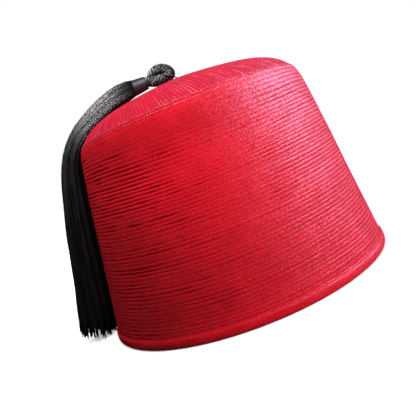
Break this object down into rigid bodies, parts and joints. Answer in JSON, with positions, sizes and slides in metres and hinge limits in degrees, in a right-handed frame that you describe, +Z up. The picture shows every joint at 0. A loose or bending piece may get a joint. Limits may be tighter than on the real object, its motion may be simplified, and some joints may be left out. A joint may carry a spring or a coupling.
{
  "type": "fez hat",
  "caption": "Tapered brimless cap of ribbed red velvet with a pleated domed crown, a rolled hem and a black tassel that hangs from the crown's centre over the side.",
  "frame": {"origin": "centre of the head opening, in the plane of the rim on which the cap stands", "axes": "+Z up out of the crown; the wearer faces -Y; the tassel hangs down the -X side"},
  "size_m": [0.2198, 0.1918, 0.16],
  "materials": {
    "velvet_side": "red velvet sewn in narrow ribs",
    "velvet_hem": "plain red velvet, rolled",
    "velvet_crown": "red velvet gathered in fine pleats",
    "thread": "black twisted thread",
    "knot_thread": "black silky thread, knotted",
    "band_thread": "black silky thread, tightly wrapped",
    "skirt_thread": "black silky thread, loose"
  },
  "bodies": {
    "root": {"side_wall": "velvet_side", "rim_hem": "velvet_hem", "crown_top": "velvet_crown", "tassel_tie": "thread", "tassel_knot": "knot_thread", "tassel_band": "band_thread", "tassel_skirt": "skirt_thread"}
  },
  "joints": []
}
